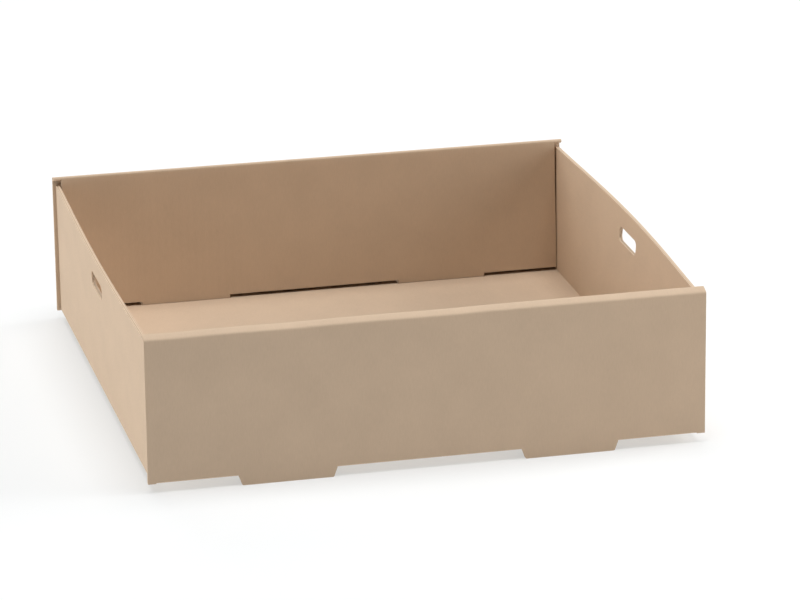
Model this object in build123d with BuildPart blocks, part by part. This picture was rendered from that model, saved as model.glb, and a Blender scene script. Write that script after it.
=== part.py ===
"""Cardboard tray box: a square catering tray folded from one sheet of thin kraft corrugated board.

The front and back walls roll over: an outer panel goes up, a narrow rim goes across and an inner
panel comes down to the floor. The inner panel is a little taller than the outer one, so the rim
slopes down to the outside. The side walls are a single layer with a hand slot each, and end in
flaps that lie hidden inside the rolled walls. Four feet carry on down from the outer panels, cut
out of the floor, and lock tabs on the inner panels drop into the openings that the feet leave.

Millimetres. +X runs along the rolled walls, +Y goes from front to back, +Z is up.
The origin is under the middle of the tray, in the plane that its feet stand on.
"""

from build123d import *
import math
import os

# board
board = 1.5  # caliper
inner_bend = 0.3  # radius of the inner face of a fold
gap = 0.3  # clearance between layers that the real tray presses together

# overall sizes
side_span = 226.0  # over the outer faces of the side walls, X
depth = 225.0  # over the outer faces of the front and back walls, Y
wall_height = 60.0  # underside of the floor to the outer fold of a rim
side_clearance = 1.5  # fold of a rim down to the top edge of a side wall
panel_overhang = 1.5  # how far a rolled wall reaches past each side wall

# rolled walls
rim_clearance = 0.5  # spare room in a rim, which holds an outer panel, a flap and an inner panel
rim_rise = 1.8  # how much higher the rim's inner fold is than its outer one
foot_inset = 8.5  # outer face to inner face, at the floor, because the inner panel leans in
inner_rise = 1.5  # top of the floor to the bottom edge of an inner panel

# flaps at the ends of the side walls
flap_length = 55.0
flap_rise = 1.0  # top of the floor to the bottom edge of a flap
flap_cut_back = 5.0  # how far the corners of a flap's free end are cut back

# feet
foot_offset = 58.0  # middle of the tray to the middle of a foot, X
foot_width = 40.0  # at the floor
foot_tip_width = 37.6
foot_drop = 4.0  # below the underside of the floor
foot_round = 0.8  # corners of a foot's tip

# hand slots
slot_length = 25.0
slot_height = 6.4
slot_round = 2.4
slot_drop = 11.0  # top edge of a side wall to the middle of its slot

# faces and edges that follow
bend = board + inner_bend  # radius of the outer face of a fold
floor_under = foot_drop
floor_top = floor_under + board
rim_edge = floor_under + wall_height  # outer fold of a rim, before it is rounded
rim_width = 3 * board + rim_clearance  # outer face to inner face, at the rim
rim_crest = rim_edge + rim_rise  # inner fold of a rim, before it is rounded
rim_slope = rim_rise / rim_width
inner_foot = floor_top + inner_rise
half_depth = depth / 2
half_side = side_span / 2
half_panel = half_side + panel_overhang
half_inner = half_side - bend  # the floor's flat and the inner panels, between the side walls
flap_face = half_depth - board - gap  # outer face of a flap
flap_foot = floor_top + flap_rise
lean = (foot_inset - rim_width) / (rim_crest - floor_under)

# the inner fold turns through a right angle and the rim's slope, less the panel's lean
crest_turn = math.pi / 2 + math.atan(rim_slope) - math.atan(lean)
fold_end = rim_crest - bend * math.tan(crest_turn / 2) * math.cos(math.atan(lean))
side_top = fold_end - side_clearance


def inner_face(level):
    """How far an inner panel's face is from the middle of the tray, at a height."""
    return half_depth - rim_width - (rim_crest - level) * lean


def front_roll(inset, panel_foot, wall_foot):
    """Corners of the rolled front wall's section, on its outer face or a board's thickness behind it."""
    under = inset * math.hypot(1, rim_slope)  # straight down through the sloping rim
    at_wall = rim_edge + inset * rim_slope - under
    at_panel = rim_crest - (inset * rim_slope + under) / (1 + rim_slope * lean)
    return [
        (-inner_face(panel_foot) - inset, panel_foot),
        (-inner_face(at_panel) - inset, at_panel),
        (-half_depth + inset, at_wall),
        (-half_depth + inset, wall_foot),
    ]


def board_section(outer_corners, inner_corners):
    """Outline of folded board between its outer face and its inner face, rounded at each fold."""
    with BuildLine() as outline:
        outer = FilletPolyline(*outer_corners, radius=bend)
        inner = FilletPolyline(*inner_corners, radius=inner_bend)
        Line(outer @ 0, inner @ 0)
        Line(outer @ 1, inner @ 1)
    return outline.edges()


with BuildPart() as folded_tray:
    # one side wall seen from above: it turns the corner at both ends into a flap
    flap_end = half_side - flap_length
    flap_faces = []
    for x, y in ((half_side, flap_face), (half_side - board, flap_face - board)):
        flap_faces.append([(flap_end, -y), (x, -y), (x, y), (flap_end, y)])
    with BuildSketch(Plane.XY.offset(flap_foot)):
        make_face(board_section(*flap_faces))
    extrude(amount=side_top - flap_foot)
    flap_corners = folded_tray.edges().filter_by(Axis.Y).group_by(Axis.X)[0]
    chamfer(flap_corners, length=flap_cut_back)
    mirror(about=Plane.YZ)

    # floor and side walls: one strip of board, folded up at both edges
    side_faces = []
    for x, z in ((half_side, floor_under), (half_side - board, floor_top)):
        side_faces.append([(-x, side_top), (-x, z), (x, z), (x, side_top)])
    with BuildSketch(Plane.XZ):
        make_face(board_section(*side_faces))
    extrude(amount=flap_face - bend, both=True)

    # floor, outer panels, rims and inner panels: the strip across it, rolled over at both ends
    roll_faces = []
    for inset in (0, board):
        front = front_roll(inset, inner_foot, floor_under + inset)
        roll_faces.append(front + [(-y, z) for y, z in reversed(front)])
    with BuildSketch(Plane.YZ):
        make_face(board_section(*roll_faces))
    extrude(amount=half_inner, both=True)

    # the outer panels and rims run on over the ends of the side walls
    end_faces = [front_roll(inset, side_top + gap, floor_under) for inset in (0, board)]
    for start, run in ((half_inner, half_panel - half_inner), (-half_inner, half_inner - half_panel)):
        with BuildSketch(Plane.YZ.offset(start)):
            make_face(board_section(*end_faces))
            mirror(about=Plane.YZ)
        extrude(amount=run)

    # openings in the floor, one behind each foot, from the outer panel to just past the lock tab
    opening_run = half_depth - inner_face(floor_under) + gap
    opening_middle = half_depth - opening_run / 2
    with BuildSketch(Plane.XY.offset(floor_under)):
        with GridLocations(2 * foot_offset, 2 * opening_middle, 2, 2):
            Rectangle(foot_width, opening_run)
    extrude(amount=bend, mode=Mode.SUBTRACT)

    # feet: the outer panels carry on down, past where the floor folds away
    foot_outline = [
        (-foot_width / 2, floor_under + bend),
        (-foot_width / 2, floor_under),
        (-foot_tip_width / 2, 0),
        (foot_tip_width / 2, 0),
        (foot_width / 2, floor_under),
        (foot_width / 2, floor_under + bend),
    ]
    inside_of_front = half_depth - board
    outside_of_back = -half_depth
    for face in (inside_of_front, outside_of_back):
        with BuildSketch(Plane.XZ.offset(face)) as feet:
            with Locations((-foot_offset, 0), (foot_offset, 0)):
                Polygon(*foot_outline, align=None)
            fillet(feet.vertices().group_by(Axis.Y)[0], radius=foot_round)
        extrude(amount=board)

    # lock tabs: the inner panels carry on down into the openings
    tab_root = inner_foot + board
    tab_corners = [
        (inner_face(tab_root), tab_root),
        (inner_face(floor_under), floor_under),
        (inner_face(floor_under) + board, floor_under),
        (inner_face(tab_root) + board, tab_root),
    ]
    for x in (-foot_offset, foot_offset):
        with BuildSketch(Plane.YZ.offset(x)):
            Polygon(*tab_corners, align=None)
            mirror(about=Plane.YZ)
        extrude(amount=foot_width / 2 - gap, both=True)

    # hand slots
    with BuildSketch(Plane.YZ):
        with Locations((0, side_top - slot_drop)):
            RectangleRounded(slot_length, slot_height, slot_round)
    extrude(amount=half_side, both=True, mode=Mode.SUBTRACT)

folded_tray.part.label = "folded_tray"

os.makedirs("parts", exist_ok=True)
export_step(folded_tray.part, "parts/folded_tray.step")
print("folded_tray", folded_tray.part.bounding_box())
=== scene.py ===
# %% [markdown]
# # A cardboard tray box
#
# The real object is a square catering tray: one sheet of thin kraft corrugated board, cut flat by a
# die and folded by hand. Nothing is glued. The front and back walls roll over into double walls, and
# their inner panels lock into openings in the floor.
#
# It could be modelled as a few thin boxes. It is made here as the real one is made instead: every
# panel is a grid of points on one sheet, the folds bend that sheet, and the board's thickness is
# given to the whole sheet at once. The folds, the hollow rims and the cut edges then come out right.

# %% Load the frame
import math

import bpy
import numpy as np
from mathutils import Matrix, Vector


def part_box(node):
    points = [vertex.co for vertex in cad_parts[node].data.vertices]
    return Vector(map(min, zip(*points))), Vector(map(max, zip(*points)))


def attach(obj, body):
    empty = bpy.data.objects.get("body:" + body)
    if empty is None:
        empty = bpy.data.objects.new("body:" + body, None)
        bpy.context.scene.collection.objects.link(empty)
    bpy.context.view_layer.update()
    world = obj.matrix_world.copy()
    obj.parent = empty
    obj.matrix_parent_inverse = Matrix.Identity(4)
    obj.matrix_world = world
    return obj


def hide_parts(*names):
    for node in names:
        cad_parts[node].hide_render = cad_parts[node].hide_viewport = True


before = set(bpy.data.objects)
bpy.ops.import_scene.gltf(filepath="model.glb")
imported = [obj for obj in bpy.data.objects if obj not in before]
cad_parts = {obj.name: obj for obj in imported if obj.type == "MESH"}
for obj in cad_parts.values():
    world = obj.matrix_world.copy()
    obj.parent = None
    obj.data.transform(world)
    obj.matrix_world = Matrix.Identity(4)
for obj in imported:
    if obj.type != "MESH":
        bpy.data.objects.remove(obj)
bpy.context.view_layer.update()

TRAY = "folded_tray"
low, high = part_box(TRAY)
print("tray, metres:", [round(b - a, 4) for a, b in zip(low, high)])

# %% [markdown]
# ## Sizes
#
# The overall sizes are read from the frame, so that the board always fills the model it stands for.
# The others are what a box maker would write on the drawing of the blank: the board's caliper, the
# width of the rim, the feet, the slots.

# %% Sizes of the board, the walls and the cuts
MM = 0.001
board = 1.5 * MM
gap = 0.3 * MM
fold_outside = 1.0 * MM
fold_inside = 0.15 * MM
fold_steps = 6

half_panel = high.x
half_side = half_panel - 1.5 * MM
half_inner = half_side - board - gap
half_depth = high.y
foot_drop = 4.0 * MM
floor_under = low.z + foot_drop
floor_top = floor_under + board
rim_edge = floor_under + 60.0 * MM

rim_width = 3 * board + 0.5 * MM
rim_rise = 1.6 * MM
rim_crest = rim_edge + rim_rise
foot_inset = 8.5 * MM
slope_angle = math.atan(rim_rise / rim_width)
lean = (foot_inset - rim_width) / (rim_crest - floor_under)
lean_angle = math.atan(lean)
edge_loss = fold_outside * math.tan((math.pi / 2 - slope_angle) / 2)
crest_loss = fold_outside * math.tan((math.pi / 2 + slope_angle - lean_angle) / 2)
side_top = low.z + 61.9 * MM
inner_foot = floor_top + 1.5 * MM
flap_face = half_depth - board - gap
flap_length = 55.0 * MM
flap_foot = floor_top + 1.0 * MM
flap_cut_back = 5.0 * MM

foot_offset = 58.0 * MM
foot_half = 20.0 * MM
foot_tip_half = 18.8 * MM
foot_round = 0.8 * MM
opening_end = half_depth - foot_inset - gap

slot_half_length = 12.5 * MM
slot_half_height = 3.2 * MM
slot_round = 2.4 * MM
slot_level = side_top - 11.0 * MM
print("rim width %.1f mm, side wall top %.1f mm" % (rim_width / MM, side_top / MM))

# %% [markdown]
# ## Walking along a section
#
# A folded wall is a profile carried along a straight line. The profile is walked the way a plotter
# pen moves: go straight for a length, or turn to the left about a fold. The walk follows the outer
# face of the board, so the board's own thickness always lies to the left of it, and the outward
# normal is to the right.
#
# A fold is not a bend of even thickness. The die crushes the board along the score, so the fold is
# tight: its outer face has a radius smaller than the caliper, and its inner face is almost a corner.

# %% Walk a profile
def walk(start, heading, moves):
    """Outer points, inner points, outward normals and run of a profile.

    A straight move adds its length times the heading. A turn keeps a centre to the left:
    point = centre + radius x (the heading turned right), while the heading swings to the left.
    The inner face is one caliper to the left. In a turn it has a centre of its own, further in by
    (caliper + inner radius - outer radius) / cos(half the turn).
    moves holds ("go", length, steps) and ("turn", degrees, steps).
    """
    def right_of(angle):
        return np.stack([np.sin(angle), -np.cos(angle)], -1)

    points, angles, runs = [np.array([start])], [np.array([heading])], [np.zeros(1)]
    inner = [points[0] - board * right_of(angles[0])]
    for kind, amount, steps in moves:
        here, angle, run = points[-1][-1], angles[-1][-1], runs[-1][-1]
        part = np.arange(1, steps + 1) / steps
        if kind == "go":
            points.append(here + part[:, None] * amount * np.array([math.cos(angle), math.sin(angle)]))
            angles.append(np.full(steps, angle))
            inner.append(points[-1] - board * right_of(angle))
            runs.append(run + part * amount)
        else:
            turn = math.radians(amount)
            turned = angle + part * turn
            centre = here - fold_outside * right_of(angle)
            further = (board + fold_inside - fold_outside) / math.cos(turn / 2)
            inner_centre = centre - further * right_of(angle + turn / 2)
            points.append(centre + fold_outside * right_of(turned))
            angles.append(turned)
            inner.append(inner_centre + fold_inside * right_of(turned))
            inner[-2][-1] = inner_centre + fold_inside * right_of(angle)
            runs.append(run + part * turn * board / 2)
    outward = right_of(np.concatenate(angles))
    return np.concatenate(points), np.concatenate(inner), outward, np.concatenate(runs)


def lines(*stops, step=3.0 * MM):
    """Rising positions that hold every stop, evenly filled in between, no further apart than step."""
    filled = [np.array([stops[0]])]
    for a, b in zip(stops[:-1], stops[1:]):
        count = max(1, math.ceil((b - a) / step - 1e-6))
        filled.append(a + (b - a) * np.arange(1, count + 1) / count)
    return np.concatenate(filled)


def steps_of(length, step=3.0 * MM):
    """How many even steps of about that size fill a length."""
    return max(1, math.ceil(length / step - 1e-6))


# %% [markdown]
# ## The sheet
#
# Every panel is a grid: a point for each pair of lines, with its partner on the inner face, its
# outward normal and its place on the flat blank. Cells that the die cut away are left out. The panels
# are then welded where they meet, which turns them into one sheet, as the real blank is.

# %% Collect panels
panels = []


def add_panel(points, inner, normals, blank, keep=None, side=0):
    """Store one grid: points, inner points and normals are (rows, columns, 3), blank is (rows, columns, 2).

    Each kept cell becomes a quad of its four corners. A quad's own normal is the cross product of
    its diagonals; where that points against the outward normal, the corners are taken in reverse.
    side is 1 or -1 on the right and left side walls, and 0 elsewhere.
    """
    rows, columns = points.shape[:2]
    number = np.arange(rows * columns).reshape(rows, columns)
    quads = np.stack([number[:-1, :-1], number[:-1, 1:], number[1:, 1:], number[1:, :-1]], -1)
    quads = quads[np.ones(quads.shape[:2], bool) if keep is None else keep].reshape(-1, 4)
    points, inner, normals = points.reshape(-1, 3), inner.reshape(-1, 3), normals.reshape(-1, 3)
    corner = points[quads]
    own = np.cross(corner[:, 2] - corner[:, 0], corner[:, 3] - corner[:, 1])
    inward = (own * normals[quads].sum(1)).sum(1) < 0
    quads[inward] = quads[inward][:, ::-1]
    panels.append((points, inner, blank.reshape(-1, 2), np.full(len(points), side), quads))


def add_flat_panel(points, normals, blank, keep=None, side=0):
    """Store a grid whose inner face is one caliper behind it."""
    add_panel(points, points - board * normals, normals, blank, keep, side)


def middles(values):
    """The middle of each cell between neighbouring lines."""
    return (values[:-1] + values[1:]) / 2


def down_rows(values, columns):
    """One value per row, repeated over the columns."""
    return np.repeat(np.asarray(values)[:, None], columns, 1)


def across_columns(values, rows):
    """One value per column, repeated over the rows."""
    return np.repeat(np.asarray(values)[None, :], rows, 0)


# %% [markdown]
# ## Rolled walls and the floor
#
# From the middle of the tray the board runs back along the floor, turns up, goes across the rim and
# comes down again inside. The inner panel is a little taller than the outer one, so the rim slopes
# down to the outside, and it leans towards the middle at its foot. So the first fold of the rim turns
# less than a right angle and the second one more. The same walk, mirrored, makes the front wall.
#
# The die cuts this strip to four widths: the floor and the inner panel stop at the side walls, the
# outer panel and the rim run on past them, the openings in the floor lie behind the feet, and the
# lock tabs are narrower than the openings that they drop into.

# %% Roll the front and back walls
slot_frame_length = 16.5 * MM
panel_slope = math.hypot(1, lean)
rim_run = math.hypot(rim_width, rim_rise) - edge_loss - crest_loss
to_foot = (rim_crest - inner_foot) * panel_slope - crest_loss
tab_run = (inner_foot - floor_under) * panel_slope
wall_run = rim_edge - floor_under - fold_outside - edge_loss
half_flat = half_depth - fold_outside
flap_fold = flap_face - fold_outside

roll_moves = [("go", slot_frame_length, 11)]
for a, b in ((slot_frame_length, opening_end), (opening_end, flap_fold), (flap_fold, half_flat)):
    roll_moves.append(("go", b - a, steps_of(b - a)))
roll_moves += [
    ("turn", 90, fold_steps),
    ("go", wall_run, steps_of(wall_run)),
    ("turn", 90 - math.degrees(slope_angle), 5),
    ("go", rim_run, 1),
    ("turn", 90 + math.degrees(slope_angle - lean_angle), 7),
    ("go", to_foot, steps_of(to_foot)),
    ("go", tab_run, 3),
]
roll, roll_inner, roll_normal, roll_run = walk((0.0, floor_under), 0.0, roll_moves)
counts = np.cumsum([move[2] for move in roll_moves])
wall_row, panel_row, tab_row = counts[4], counts[8], counts[9]

tab_half = foot_half - gap
round_at = foot_half - foot_round * (1 - np.cos(np.radians([0, 30, 60, 90])))
foot_stops = sorted([*(foot_offset - round_at), *(foot_offset + round_at), foot_offset - tab_half,
                     foot_offset + tab_half])
side_flat = half_side - fold_outside
x_half = lines(0, *foot_stops, half_inner, side_flat, half_panel)
x_lines = np.concatenate([-x_half[:0:-1], x_half])


def roll_keep():
    """Which cells the die leaves, by row along the walk and by distance from the tray's middle."""
    row = np.arange(len(roll) - 1)[:, None]
    x = np.abs(middles(x_lines))[None, :]
    y = middles(roll[:, 0])[:, None]
    by_foot = np.abs(x - foot_offset)
    narrow = x < half_inner
    by_side = (x < side_flat) & (y < flap_fold)
    floor = (row < wall_row) & (narrow | by_side) & ~((by_foot < foot_half) & (y > opening_end))
    wall = (row >= wall_row) & (row < panel_row)
    panel = (row >= panel_row) & (row < tab_row) & narrow
    tab = (row >= tab_row) & (by_foot < tab_half)
    return floor | wall | panel | tab


def add_rolled(section, inner, normal, run, keep):
    """Carry a section (Y and Z) along X, once towards the back and once mirrored to the front."""
    rows, columns = len(section), len(x_lines)
    x = across_columns(x_lines, rows)

    def carry(pairs, along_x, side):
        y, z = (down_rows(pairs[:, k], columns) for k in (0, 1))
        return np.stack([along_x, side * y, z], -1)

    for side in (1, -1):
        add_panel(carry(section, x, side), carry(inner, x, side), carry(normal, 0 * x, side),
                  np.stack([x, side * down_rows(run, columns)], -1), keep)


add_rolled(roll, roll_inner, roll_normal, roll_run, roll_keep())
print("rolled strip: %d cells, %.0f mm from the middle of the floor to the tab's tip" % (
    2 * roll_keep().sum(), roll_run[-1] / MM))

# %% [markdown]
# ## Feet
#
# A foot is cut out of the floor, so it stays in the plane of the outer panel when the floor folds
# away from it. The same rows carry the panel's two ends down to the level of the floor. A foot
# tapers to its tip, and its two lower corners are rounded.
#
# It could be a small block set below the wall. As part of the sheet it needs no joint: it shares the
# wall's points, and its slit beside the fold is left open as on the real one.

# %% Carry the outer panels down into feet
panel_end = np.linspace(floor_under + fold_outside, floor_under, 3)
wall_start_run = roll_run[wall_row]
x_middle = np.abs(middles(x_lines))
goes_down = (np.abs(x_middle - foot_offset) < foot_half) | (x_middle > half_inner)
add_rolled(np.stack([np.full(3, half_depth), panel_end], 1),
           np.stack([np.full(3, half_depth - board), panel_end], 1), np.tile([1.0, 0.0], (3, 1)),
           wall_start_run - (panel_end[0] - panel_end), across_columns(goes_down, 2))


def add_feet():
    """Feet below the floor, for both walls and both sides of the tray.

    x = foot middle + taper x distance from it, and z goes in equal parts from the floor to the tip.
    In a rounded corner the tip rises by radius - root(radius^2 - (radius - distance to the edge)^2).
    """
    rows = 5
    down = np.linspace(0, 1, rows)[:, None]
    for middle in (-foot_offset, foot_offset):
        columns = x_lines[np.abs(x_lines - middle) < foot_half + gap / 2]
        across = (columns - middle)[None, :] / foot_half
        to_edge = np.minimum((1 - np.abs(across)) * foot_half, foot_round)
        tip = foot_round - np.sqrt(np.maximum(foot_round**2 - (foot_round - to_edge) ** 2, 0))
        x = middle + across * (foot_half + (foot_tip_half - foot_half) * down)
        z = floor_under + (low.z + tip - floor_under) * down
        run = wall_start_run - (panel_end[0] - z)
        for side in (1, -1):
            add_flat_panel(np.stack([x, 0 * x + side * half_depth, z], -1),
                           np.stack([0 * x, 0 * x + side, 0 * x], -1), np.stack([x, side * run], -1))


add_feet()
print("feet: %.1f mm wide at the floor, %.1f mm at the tip" % (2 * foot_half / MM, 2 * foot_tip_half / MM))

# %% [markdown]
# ## Side walls, flaps and hand slots
#
# A side wall is one layer. Seen from above it runs straight and turns into a flap at each end, so
# its walk lies in the plane of the floor and is carried upwards. Below the flaps only the straight
# part goes down to the fold along the floor.
#
# A hand slot is a hole in a grid. A boolean could cut it, but that leaves uneven cells. The cells
# around it are left out instead, and a ring takes their place: its outside follows the grid's own
# points, and its inside is the rounded slot.

# %% Fold up the side walls
slot_frame_height = 6.5 * MM
side_rows = counts[2] + 1
y_half = roll[:side_rows, 0]
plan_moves = roll_moves[:3] + [
    ("turn", 90, fold_steps),
    ("go", flap_length - fold_outside, steps_of(flap_length)),
]
plan, plan_inner, plan_normal, plan_run = walk((half_side, 0.0), math.pi / 2, plan_moves)
arc, arc_inner, arc_normal, arc_run = walk((side_flat, floor_under), 0.0, [("turn", 90, fold_steps)])
arc_run = side_flat + arc_run
z_lines = np.concatenate([
    lines(floor_under + fold_outside, flap_foot, slot_level - slot_frame_height),
    lines(slot_level - slot_frame_height, slot_level + slot_frame_height, step=1.45 * MM)[1:],
    lines(slot_level + slot_frame_height, side_top, step=1.2 * MM)[1:],
])
side_run = arc_run[-1] + z_lines - z_lines[0]


def add_mirrored(points, inner, normals, blank, keep=None):
    """One panel and its three mirror images, left to right and front to back."""
    for x in (1, -1):
        for y in (1, -1):
            mirror = (x, y, 1)
            add_panel(points * mirror, inner * mirror, normals * mirror, blank * (x, y), keep, side=x)


def add_side_fold():
    """The fold along the floor: its arc in X and Z, carried along Y as far as the flaps begin."""
    columns = len(y_half)
    y = across_columns(y_half, len(arc))

    def carry(pairs, along_y):
        return np.stack([down_rows(pairs[:, 0], columns), along_y, down_rows(pairs[:, 1], columns)], -1)

    add_mirrored(carry(arc, y), carry(arc_inner, y), carry(arc_normal, 0 * y),
                 np.stack([down_rows(arc_run, columns), y], -1))


def add_side_wall():
    """The plan in X and Y, carried upwards.

    At a flap's free end the rows close in on the flap's middle height, which cuts its corners back:
    z = middle + (z - middle) x (half height - cut) / half height.
    """
    rows, columns = len(z_lines), len(plan)
    on_flap = np.arange(columns)[None, :] >= counts[2] + fold_steps
    cut = np.clip(flap_cut_back - (plan[None, :, 0] - (half_side - flap_length)), 0, None) * on_flap
    middle, half = (side_top + flap_foot) / 2, (side_top - flap_foot) / 2
    z = down_rows(z_lines, columns)
    z = np.where(on_flap, middle + (z - middle) * (half - cut) / half, z)

    def carry(pairs, height):
        return np.stack([across_columns(pairs[:, 0], rows), across_columns(pairs[:, 1], rows), height], -1)

    blank = np.stack([down_rows(side_run, columns), across_columns(plan_run, rows)], -1)
    level, along = middles(z_lines)[:, None], middles(plan_run)[None, :]
    straight = np.arange(columns - 1)[None, :] < counts[2]
    in_frame = (along < slot_frame_length) & (np.abs(level - slot_level) < slot_frame_height)
    add_mirrored(carry(plan, z), carry(plan_inner, z), carry(plan_normal, 0 * z), blank,
                 ((level > flap_foot) | straight) & ~in_frame)


def add_slot_ring():
    """Half a ring between the slot's frame and the slot, which its mirror image completes.

    A point of the frame is first scaled onto the slot's plain rectangle. Near a corner it then moves
    to centre + radius x its direction from the centre. The rows blend from the slot to the frame.
    """
    across = y_half[y_half < slot_frame_length + gap / 2]
    up = z_lines[np.abs(z_lines - slot_level) < slot_frame_height + gap / 2] - slot_level
    frame_y = np.concatenate([across, np.full(len(up) - 2, across[-1]), across[::-1]])
    frame_z = np.concatenate([np.full(len(across), up[0]), up[1:-1], np.full(len(across), up[-1])])
    slot_y = frame_y * slot_half_length / slot_frame_length
    slot_z = frame_z * slot_half_height / slot_frame_height
    centre_y = slot_half_length - slot_round
    centre_z = np.sign(slot_z) * (slot_half_height - slot_round)
    off_y, off_z = slot_y - centre_y, slot_z - centre_z
    corner = (off_y > 0) & (np.abs(slot_z) > np.abs(centre_z))
    reach = np.where(corner, np.hypot(off_y, off_z), 1)
    slot_y = np.where(corner, centre_y + slot_round * off_y / reach, slot_y)
    slot_z = np.where(corner, centre_z + slot_round * off_z / reach, slot_z)
    blend = np.linspace(0, 1, 5)[:, None]
    y = slot_y + (frame_y - slot_y) * blend
    z = slot_level + slot_z + (frame_z - slot_z) * blend
    run = arc_run[-1] + z - z_lines[0]
    face = np.full_like(y, half_side)
    add_mirrored(np.stack([face, y, z], -1), np.stack([face - board, y, z], -1),
                 np.stack([0 * y + 1, 0 * y, 0 * y], -1), np.stack([run, y], -1))


add_side_fold()
add_side_wall()
add_slot_ring()
print("panels on the sheet:", len(panels))

# %% [markdown]
# ## Weld the sheet
#
# Points of different panels that fall on the same place become one point, so the whole tray is one
# sheet of cells. Merging by distance in edit mode does the same. Here the places are rounded to a
# thousandth of a millimetre and equal ones are found at once.

# %% Weld the panels
def weld():
    """Outer and inner points, blank places and sides, and the quads, with doubles merged."""
    sizes = np.cumsum([0] + [len(panel[0]) for panel in panels])
    points, inner, blank, side = (np.concatenate([panel[k] for panel in panels]) for k in range(4))
    quads = np.concatenate([panel[4] + start for panel, start in zip(panels, sizes)])
    places = np.round(points / (0.001 * MM)).astype(np.int64)
    _, first, same = np.unique(places, axis=0, return_index=True, return_inverse=True)
    used, quads = np.unique(same.reshape(-1)[quads], return_inverse=True)
    first = first[used]
    return points[first], inner[first], blank[first], side[first], quads.reshape(-1, 4)


def cut_edges(quads):
    """Edges that only one quad has, each in that quad's own direction."""
    edges = np.stack([quads, np.roll(quads, -1, axis=1)], -1).reshape(-1, 2)
    _, index, count = np.unique(np.sort(edges, axis=1), axis=0, return_index=True, return_counts=True)
    return edges[index[count == 1]], count.max()


outer, inner, blank, side, quads = weld()
cut, most = cut_edges(quads)
cut_length = np.linalg.norm(outer[cut[:, 0]] - outer[cut[:, 1]], axis=1).sum()
print("sheet: %d points, %d cells, %.0f mm of cut edge, at most %d cells at an edge" % (
    len(outer), len(quads), cut_length / MM, most))

# %% [markdown]
# ## How board settles
#
# Folded board is never quite true. The side walls are held at their ends by the flaps, and spring
# outwards in the middle of their top edge. The rims are rolled over by hand: the front one dips a
# little in a few places, and the back one stands a little high at its left end. Sculpting could add
# this. It is written as smooth functions of the place instead, so that both faces of the board and
# everything cut in it move together.

# %% Let the board settle
def smooth_rise(value, start, end):
    """0 before start, 1 after end, and 3t^2 - 2t^3 in between."""
    part = np.clip((value - start) / (end - start), 0, 1)
    return part * part * (3 - 2 * part)


def bump(value, middle, width):
    """A bell: e to the power of minus the square of the distance from the middle over the width."""
    return np.exp(-(((value - middle) / width) ** 2))


bow_middle = {1: 3.6 * MM, -1: 1.8 * MM}
bow_ends = {1: 0.5 * MM, -1: 0.3 * MM}
rim_dips = [(-102, 9, 0.2), (-56, 12, 0.2), (3, 16, 0.2)]
back_rise = {-1: 0.7 * MM, 1: 0.1 * MM}


def settle(points, side):
    """How far each point moves.

    A side wall leans out by its bow x height^1.4, and the bow is largest in the middle of its length.
    The front rim dips by a sum of bells along X, each given in millimetres as its middle, its width
    and its depth. The back rim stands a little high towards the left. Both fade out down the wall.
    """
    x, y, z = points.T
    up = np.clip((z - floor_top) / (side_top - floor_top), 0, None)
    arch = np.cos(np.clip(y / half_depth, -1, 1) * math.pi / 2) ** 1.3
    move = np.zeros_like(points)
    for which in (1, -1):
        bow = bow_ends[which] + (bow_middle[which] - bow_ends[which]) * arch
        move[:, 0] += np.where(side == which, which * bow * up**1.4, 0)
    near_rim = smooth_rise(z, rim_edge - 30 * MM, rim_edge) * (side == 0)
    dips = sum(depth * bump(x / MM, middle, width) for middle, width, depth in rim_dips)
    to_right = (x + half_panel) / (2 * half_panel)
    rise = back_rise[-1] + (back_rise[1] - back_rise[-1]) * to_right
    move[:, 2] += np.where(y < 0, -dips * MM, rise) * near_rim
    return move


shift = settle(outer, side)
print("the board settles by up to %.1f mm" % (np.linalg.norm(shift, axis=1).max() / MM))

# %% [markdown]
# ## Thickness
#
# The board's second face is made of the inner points that the walks gave: one caliper behind the
# flat panels, and almost a corner in the folds. Along every cut edge a strip joins the two faces.
#
# A Solidify modifier could do the flat panels, but not a fold that is tighter inside than outside.
# Worked out here, each point also knows how deep it lies in the board and where it was on the flat
# blank. The finish needs both.

# %% Make the solid sheet
def build_board(name):
    """Outer face, inner face and cut strips as one mesh, with the blank as UV map in metres."""
    count = len(outer)
    points = np.concatenate([outer, inner]) + np.tile(shift, (2, 1))
    strips = np.stack([cut[:, 1], cut[:, 0], cut[:, 0] + count, cut[:, 1] + count], 1)
    faces = np.concatenate([quads, quads[:, ::-1] + count, strips])
    mesh = bpy.data.meshes.new(name)
    mesh.from_pydata(points, [], faces)
    mesh.polygons.foreach_set("material_index", np.repeat([0, 1], [2 * len(quads), len(strips)]))
    mesh.polygons.foreach_set("use_smooth", np.ones(len(faces), bool))
    mesh.set_sharp_from_angle(angle=math.radians(40))
    flat_places = np.tile(blank, (2, 1))[faces.reshape(-1)]
    mesh.uv_layers.new(name="blank").data.foreach_set("uv", flat_places.reshape(-1))
    depth = mesh.attributes.new("depth", "FLOAT", "POINT")
    depth.data.foreach_set("value", np.repeat([0.0, 1.0], count))
    assert not mesh.validate()
    mesh.update()
    piece = bpy.data.objects.new(name, mesh)
    bpy.context.collection.objects.link(piece)
    return piece


tray = build_board("kraft_tray")
print(tray.name, "has", len(tray.data.polygons), "faces")

# %% [markdown]
# ## Kraft liner
#
# The faces of the board are brown kraft paper: matt, slightly mottled from the pulp, with fine
# fibres that run along the paper web. Under the paper lie the flutes, which show as a very faint
# washboard when light grazes it.
#
# A scan could give this as an image. Noise gives it at any distance: a broad one for the mottling, a
# stretched one for fibres and a fine one for the tooth of the paper. All of them read the place on
# the flat blank, so the pattern runs through the folds as it does on the real sheet.

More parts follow.
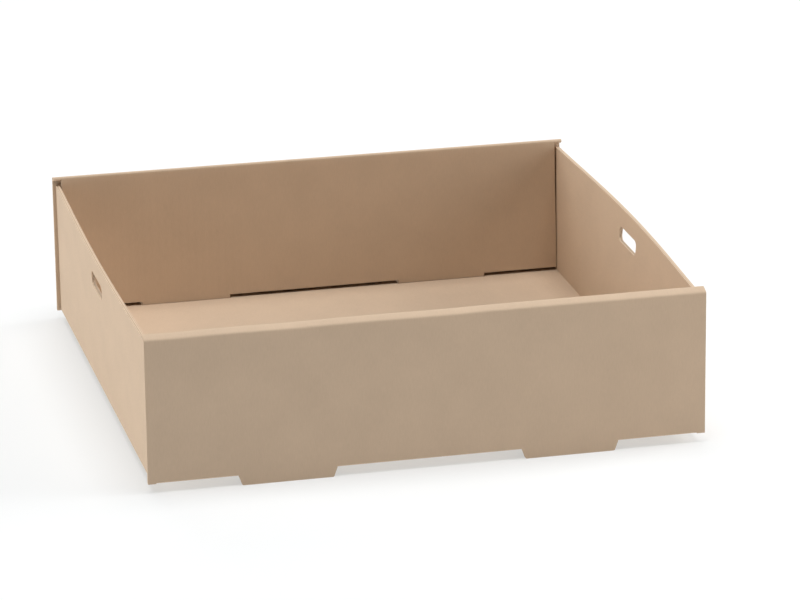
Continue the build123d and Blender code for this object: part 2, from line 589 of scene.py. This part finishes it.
# %% Helpers for nodes
def new_material(name):
    """A material with its node tree emptied to the shader and the output."""
    material = bpy.data.materials.new(name)
    material.use_nodes = True
    return material, material.node_tree.nodes["Principled BSDF"]


def node(material, kind, inputs=None, **settings):
    """Add a node, set its properties, and fill or link its inputs."""
    made = material.node_tree.nodes.new(kind)
    for key, value in settings.items():
        setattr(made, key, value)
    for key, value in (inputs or {}).items():
        if isinstance(value, bpy.types.NodeSocket):
            material.node_tree.links.new(value, made.inputs[key])
        else:
            made.inputs[key].default_value = value
    return made


def math_node(material, operation, *values):
    """One arithmetic step on numbers or sockets."""
    return node(material, "ShaderNodeMath", dict(enumerate(values)), operation=operation).outputs[0]


def on_blank(material, scale):
    """The place on the flat blank in metres, stretched by a scale along and across the flutes."""
    place = node(material, "ShaderNodeUVMap", uv_map="blank").outputs["UV"]
    return node(material, "ShaderNodeMapping", {"Vector": place, "Scale": scale}).outputs["Vector"]


def noise(material, scale, detail=2.0, roughness=0.5):
    """Noise over the blank, from 0 to 1 with its middle at one half."""
    inputs = {"Vector": on_blank(material, scale), "Scale": 1.0, "Detail": detail, "Roughness": roughness}
    return node(material, "ShaderNodeTexNoise", inputs).outputs["Fac"]


def blend_colour(material, factor, dark, light):
    """Colours between dark and light as the factor goes from 0 to 1."""
    ramp = node(material, "ShaderNodeValToRGB", {"Fac": factor})
    ramp.color_ramp.elements[0].color = (*dark, 1)
    ramp.color_ramp.elements[1].color = (*light, 1)
    return ramp.outputs["Color"]


print("node helpers ready")

# %% Mix the kraft paper
flute_pitch = 3.3 * MM
flute_relief = 0.006 * MM
tooth_relief = 0.02 * MM
kraft = np.array([0.597, 0.457, 0.332])


def kraft_liner():
    """Paper colour = kraft x (1 + mottling + fibres), with flutes and tooth as a shallow bump."""
    material, shader = new_material("kraft_liner")
    mottling = noise(material, (60, 45, 1), detail=4.0, roughness=0.6)
    fibres = noise(material, (2200, 320, 1), detail=3.0, roughness=0.7)
    tooth = noise(material, (1500, 1500, 1), detail=2.0)
    shade = math_node(material, "ADD", math_node(material, "MULTIPLY", mottling, 0.5),
                      math_node(material, "MULTIPLY", fibres, 0.5))
    colour = blend_colour(material, shade, kraft * 0.86, kraft * 1.14)
    along = node(material, "ShaderNodeSeparateXYZ", {"Vector": on_blank(material, (1, 1, 1))}).outputs["X"]
    flutes = math_node(material, "SINE", math_node(material, "MULTIPLY", along, 2 * math.pi / flute_pitch))
    height = math_node(material, "ADD", math_node(material, "MULTIPLY", flutes, flute_relief),
                       math_node(material, "MULTIPLY", tooth, tooth_relief))
    bump_node = node(material, "ShaderNodeBump", {"Height": height, "Strength": 1.0, "Distance": 1.0})
    material.node_tree.links.new(colour, shader.inputs["Base Color"])
    material.node_tree.links.new(bump_node.outputs["Normal"], shader.inputs["Normal"])
    shader.inputs["Roughness"].default_value = 0.92
    shader.inputs["Specular IOR Level"].default_value = 0.25
    return material


def cut_board():
    """A cut edge: two liners and the waved medium between them, pressed almost shut by the die.

    The medium's middle lies at depth 0.5 + 0.34 x sine of the place across the flutes. The hollows between
    the medium and the liners take a darker colour: painted shade inside the open flutes.
    """
    material, shader = new_material("cut_edge")
    place = on_blank(material, (1, 1, 1))
    across = node(material, "ShaderNodeSeparateXYZ", {"Vector": place}).outputs["X"]
    wave = math_node(material, "SINE", math_node(material, "MULTIPLY", across, 2 * math.pi / flute_pitch))
    depth = node(material, "ShaderNodeAttribute", attribute_name="depth").outputs["Fac"]
    from_middle = math_node(material, "SUBTRACT", depth, 0.5)
    from_medium = math_node(material, "ABSOLUTE", math_node(
        material, "SUBTRACT", from_middle, math_node(material, "MULTIPLY", wave, 0.34)))
    medium = math_node(material, "LESS_THAN", from_medium, 0.14)
    liner = math_node(material, "GREATER_THAN", math_node(material, "ABSOLUTE", from_middle), 0.34)
    paper = math_node(material, "MAXIMUM", medium, liner)
    ragged = noise(material, (900, 900, 1), detail=2.0)
    factor = math_node(material, "MULTIPLY", paper, math_node(material, "ADD", 0.6, ragged))
    # Painted shade: where there is no paper, in the hollows of the flutes, the edge takes the darker colour.
    colour = blend_colour(material, factor, kraft * 0.8, kraft * 1.1)
    material.node_tree.links.new(colour, shader.inputs["Base Color"])
    shader.inputs["Roughness"].default_value = 0.95
    shader.inputs["Specular IOR Level"].default_value = 0.15
    return material


tray.data.materials.append(kraft_liner())
tray.data.materials.append(cut_board())
print("materials:", [material.name for material in tray.data.materials])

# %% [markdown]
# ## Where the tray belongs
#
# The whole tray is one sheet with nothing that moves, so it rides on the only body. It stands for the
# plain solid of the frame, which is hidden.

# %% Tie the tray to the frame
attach(tray, "root")
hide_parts(TRAY)

# %% [markdown]
# ## Studio
#
# Product pictures of board are taken on a sheet of white paper under large soft lights. A bright sky
# alone would do, but then the walls would hardly differ. The floor glows a little, as a light table
# does, which keeps the shadows under the tray pale. Lamps do it here: a large one overhead and one
# on the right wash out the shadows on the floor, one low on the left makes that wall the brightest,
# and the others fill the front and the back.

# %% Set the floor, the light and the camera
def floor_sheet(half_size):
    """A square floor at the level of the feet: the corners of one cell."""
    mesh = bpy.data.meshes.new("floor_sheet")
    corners = [(-half_size, -half_size, low.z), (half_size, -half_size, low.z),
               (half_size, half_size, low.z), (-half_size, half_size, low.z)]
    mesh.from_pydata(corners, [], [(0, 1, 2, 3)])
    material, shader = new_material("pale_floor")
    shader.inputs["Base Color"].default_value = (0.45, 0.455, 0.46, 1)
    shader.inputs["Emission Color"].default_value = (0.98, 1, 1, 1)
    shader.inputs["Emission Strength"].default_value = 0.48
    shader.inputs["Roughness"].default_value = 0.9
    shader.inputs["Specular IOR Level"].default_value = 0.0
    mesh.materials.append(material)
    sheet = bpy.data.objects.new("floor_sheet", mesh)
    bpy.context.collection.objects.link(sheet)
    return sheet


floor_sheet(6.0)


def soft_lamp(name, azimuth, elevation, distance, size, power, colour=(1, 1, 1)):
    """A square lamp that faces the tray: place = distance x direction, turned to look at the middle."""
    light = bpy.data.lights.new(name, "AREA")
    light.size = size
    light.energy = power
    light.color = colour
    lamp = bpy.data.objects.new(name, light)
    turn, tilt = math.radians(azimuth), math.radians(90 - elevation)
    lamp.matrix_world = Matrix.Rotation(turn, 4, "Z") @ Matrix.Rotation(tilt, 4, "X") @ Matrix.Translation(
        (0, 0, distance))
    bpy.context.collection.objects.link(lamp)
    return lamp


world = bpy.data.worlds.new("studio_sky")
world.use_nodes = True
world.node_tree.nodes["Background"].inputs["Color"].default_value = (1, 1, 1, 1)
world.node_tree.nodes["Background"].inputs["Strength"].default_value = 0.02
bpy.context.scene.world = world
bpy.context.scene.view_settings.view_transform = "Standard"
soft_lamp("left_lamp", azimuth=-95, elevation=9, distance=2.5, size=1.2, power=37)
soft_lamp("fill_lamp", azimuth=-60, elevation=15, distance=2.5, size=1.6, power=5.5, colour=(1, 0.87, 0.74))
soft_lamp("front_lamp", azimuth=50, elevation=11, distance=0.7, size=0.25, power=0.55, colour=(1, 0.87, 0.74))
soft_lamp("right_lamp", azimuth=88, elevation=26, distance=2.5, size=1.6, power=46)
soft_lamp("back_lamp", azimuth=180, elevation=30, distance=2.5, size=1.6, power=18)
soft_lamp("top_lamp", azimuth=0, elevation=88, distance=2.5, size=1.6, power=48)

camera_data = bpy.data.cameras.new("camera")
camera_data.lens = 201.1
camera_data.sensor_width = 36
camera = bpy.data.objects.new("camera", camera_data)
turn, tilt, roll_angle = math.radians(-13.125), math.radians(90 - 18.441), math.radians(-0.69)
camera.matrix_world = (Matrix.Translation((-0.3913, -1.7406, 0.6292))
                       @ Matrix.Rotation(turn, 4, "Z") @ Matrix.Rotation(tilt, 4, "X")
                       @ Matrix.Rotation(roll_angle, 4, "Z"))
bpy.context.collection.objects.link(camera)
bpy.context.scene.camera = camera
